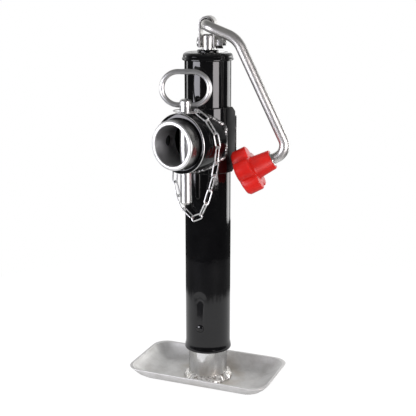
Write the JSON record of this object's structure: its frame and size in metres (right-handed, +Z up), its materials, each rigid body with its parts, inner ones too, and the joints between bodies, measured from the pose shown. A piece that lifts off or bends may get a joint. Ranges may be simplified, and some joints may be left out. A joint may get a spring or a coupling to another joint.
{
  "type": "tongue jack stand",
  "caption": "Top-wind trailer tongue jack on a tray foot, with a swivel sleeve and weld-on stub pipe, a tethered locking pin and a fold-over crank with a star knob.",
  "frame": {"origin": "on the floor under the outer tube's axis, in the middle of the foot's underside", "axes": "+Z up along the tube; the swivel sleeve and stub pipe point to -Y; +X is to the right when the stub pipe faces the viewer"},
  "size_m": [0.2055, 0.1452, 0.4658],
  "materials": {
    "black_paint": "gloss black enamel",
    "zinc_plate": "bright zinc plating",
    "bearing_steel": "plain oiled steel",
    "bearing_brass": "plain brass",
    "red_plastic": "red moulded plastic"
  },
  "bodies": {
    "jack_body": {"outer_tube": "black_paint", "guide_rivet": "black_paint", "top_cap": "black_paint", "cap_boss": "black_paint", "bearing_seat": "bearing_steel", "bearing_lower_race": "bearing_steel", "swivel_bracket": "black_paint", "bracket_weld_right": "black_paint", "bracket_weld_left": "black_paint", "swivel_sleeve": "black_paint", "stub_pipe": "zinc_plate", "chain_staple": "black_paint", "chain_link_01": "zinc_plate", "chain_link_02": "zinc_plate", "chain_link_03": "zinc_plate", "chain_link_04": "zinc_plate", "chain_link_05": "zinc_plate", "chain_link_06": "zinc_plate", "chain_link_07": "zinc_plate", "chain_link_08": "zinc_plate", "chain_link_09": "zinc_plate", "chain_link_10": "zinc_plate", "chain_link_11": "zinc_plate", "chain_link_12": "zinc_plate", "chain_link_13": "zinc_plate"},
    "leg": {"leg_tube": "zinc_plate", "drive_nut": "bearing_steel", "foot_plate": "zinc_plate", "foot_weld": "zinc_plate"},
    "crank": {"lead_screw": "zinc_plate", "bearing_cage": "bearing_brass", "bearing_upper_race": "bearing_steel", "handle_strap": "zinc_plate", "strap_bolt": "zinc_plate", "strap_nut": "zinc_plate", "strap_washer": "zinc_plate"},
    "handle": {"handle_rod": "zinc_plate", "rod_end_clip": "zinc_plate"},
    "knob": {"grip_knob": "red_plastic", "knob_bush": "zinc_plate"},
    "pin": {"pull_pin": "zinc_plate", "split_ring": "zinc_plate"},
    "ring": {"pull_ring": "zinc_plate"}
  },
  "joints": [
    {"name": "leg_extend", "type": "slide", "parent": "jack_body", "child": "leg", "axis": [0, 0, -1], "range_m": [0, 0.254]},
    {"name": "crank_turn", "type": "hinge", "parent": "jack_body", "child": "crank", "pos_m": [0, 0, 0.4], "axis": [0, 0, 1], "range_deg": [0, 180]},
    {"name": "handle_fold", "type": "hinge", "parent": "crank", "child": "handle", "pos_m": [0, 0, 0.456], "axis": [0.4384, -0.8988, 0], "range_deg": [0, 236]},
    {"name": "knob_spin", "type": "hinge", "parent": "handle", "child": "knob", "pos_m": [0.08528, 0.01433, 0.29866], "axis": [-0.7936, -0.3871, -0.4695], "continuous": true},
    {"name": "pin_pull", "type": "slide", "parent": "jack_body", "child": "pin", "axis": [0, 0, 1], "range_m": [0, 0.115], "deforming": ["chain_link_01", "chain_link_02", "chain_link_03", "chain_link_04", "chain_link_05", "chain_link_06", "chain_link_07", "chain_link_08", "chain_link_09", "chain_link_10", "chain_link_11", "chain_link_12", "chain_link_13"]},
    {"name": "ring_swing", "type": "hinge", "parent": "pin", "child": "ring", "pos_m": [0, -0.045, 0.3636], "axis": [0.866, 0.5, 0], "range_deg": [0, 80]}
  ]
}
